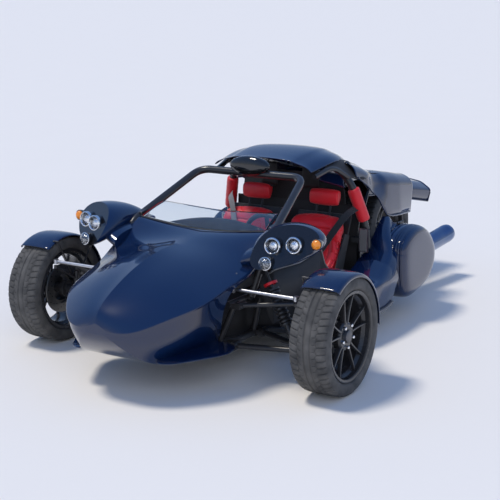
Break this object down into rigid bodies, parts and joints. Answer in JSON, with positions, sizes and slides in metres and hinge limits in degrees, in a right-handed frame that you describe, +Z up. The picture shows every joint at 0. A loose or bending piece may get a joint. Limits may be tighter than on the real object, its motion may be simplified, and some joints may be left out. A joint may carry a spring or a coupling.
{
  "type": "three wheeled roadster",
  "caption": "Open three wheeled two seat roadster with a steered front axle, hoops, side cases and one driven rear wheel",
  "frame": {"origin": "on the ground under the middle of the overall length", "axes": "front faces -Y, +X is the vehicle left side, +Z up"},
  "size_m": [1.981, 3.5, 1.0503],
  "materials": {
    "navy_paint": "deep navy gloss clear coat over glass fibre",
    "frame_black": "satin black powder coat",
    "liner_black": "grained black moulding",
    "clear_screen": "clear acrylic",
    "lamp_glass": "clear lens over a bright reflector",
    "amber_lens": "amber lens",
    "mirror_shell": "gloss black shell",
    "red_vinyl": "red vinyl with sewn seams",
    "damper_metal": "turned alloy with a dark coil",
    "rod_metal": "bright plated steel",
    "wheel_black": "satin graphite wheel paint",
    "tyre_rubber": "road tread rubber",
    "grip_leather": "black grip leather",
    "engine_grey": "painted cast metal",
    "disc_steel": "ground disc faces",
    "tail_lens": "red lens",
    "exhaust_blue": "blued steel with a black end ring"
  },
  "bodies": {
    "chassis": {"bulkhead": "liner_black", "cage_pads": "red_vinyl", "cockpit_tub": "liner_black", "dampers": "damper_metal", "dash_cowl": "liner_black", "engine_block": "engine_grey", "exhaust": "exhaust_blue", "front_arms": "frame_black", "front_hoop": "frame_black", "lamp_pods": "navy_paint", "lamps": "lamp_glass", "lower_frame": "frame_black", "mirror": "mirror_shell", "nose_shell": "navy_paint", "nose_splitters": "navy_paint", "pannier_cases": "navy_paint", "rear_fairings": "navy_paint", "roll_cage": "frame_black", "roof_panel": "navy_paint", "seat_cushions": "red_vinyl", "seat_shells": "liner_black", "shoulder_panels": "navy_paint", "side_pods": "navy_paint", "swingarm": "frame_black", "tail_fender": "navy_paint", "tail_lamps": "tail_lens", "turn_signals": "amber_lens", "windscreen": "clear_screen"},
    "wheel_front_left": {"rim_front_left": "wheel_black", "tyre_front_left": "tyre_rubber", "brake_disc_left": "disc_steel"},
    "wheel_front_right": {"rim_front_right": "wheel_black", "tyre_front_right": "tyre_rubber", "brake_disc_right": "disc_steel"},
    "wheel_rear": {"rim_rear": "wheel_black", "tyre_rear": "tyre_rubber"},
    "knuckle_left": {"knuckle_left": "frame_black", "fender_left": "navy_paint"},
    "knuckle_right": {"knuckle_right": "frame_black", "fender_right": "navy_paint"},
    "rack": {"steering_rack": "rod_metal"},
    "steering": {"steering_wheel": "grip_leather"},
    "lid_left": {"pannier_lid_left": "navy_paint"},
    "lid_right": {"pannier_lid_right": "navy_paint"}
  },
  "joints": [
    {"name": "steer_left", "type": "hinge", "parent": "chassis", "child": "knuckle_left", "pos_m": [0.765, -1, 0.185], "axis": [-0.0737, 0.0614, 0.9954], "range_deg": [-28, 28]},
    {"name": "steer_right", "type": "hinge", "parent": "chassis", "child": "knuckle_right", "pos_m": [-0.765, -1, 0.185], "axis": [0.0737, 0.0614, 0.9954], "range_deg": [-28.1, 28.1]},
    {"name": "rack_slide", "type": "slide", "parent": "chassis", "child": "rack", "axis": [1, 0, 0], "range_m": [-0.0796, 0.0796]},
    {"name": "steering_wheel_turn", "type": "hinge", "parent": "chassis", "child": "steering", "pos_m": [0.233, -0.525, 0.6], "axis": [0.0472, 0.9809, 0.1886], "range_deg": [-281, 281]},
    {"name": "front_left_spin", "type": "hinge", "parent": "knuckle_left", "child": "wheel_front_left", "pos_m": [0.888, -1.005, 0.299], "axis": [1, 0, 0], "continuous": true},
    {"name": "front_right_spin", "type": "hinge", "parent": "knuckle_right", "child": "wheel_front_right", "pos_m": [-0.888, -1.005, 0.299], "axis": [1, 0, 0], "continuous": true},
    {"name": "rear_spin", "type": "hinge", "parent": "chassis", "child": "wheel_rear", "pos_m": [0, 1.281, 0.332], "axis": [1, 0, 0], "continuous": true},
    {"name": "lid_left_hinge", "type": "hinge", "parent": "chassis", "child": "lid_left", "pos_m": [0.563, 0.495, 0.568], "axis": [0, -1, 0], "range_deg": [0, 75]},
    {"name": "lid_right_hinge", "type": "hinge", "parent": "chassis", "child": "lid_right", "pos_m": [-0.563, 0.495, 0.568], "axis": [0, 1, 0], "range_deg": [0, 75]}
  ],
  "couplings": [
    {"joint": "steer_right", "follows": "steer_left", "ratio": 1},
    {"joint": "rack_slide", "follows": "steer_left", "m_per_rad": 0.162},
    {"joint": "steering_wheel_turn", "follows": "steer_left", "ratio": 10}
  ]
}
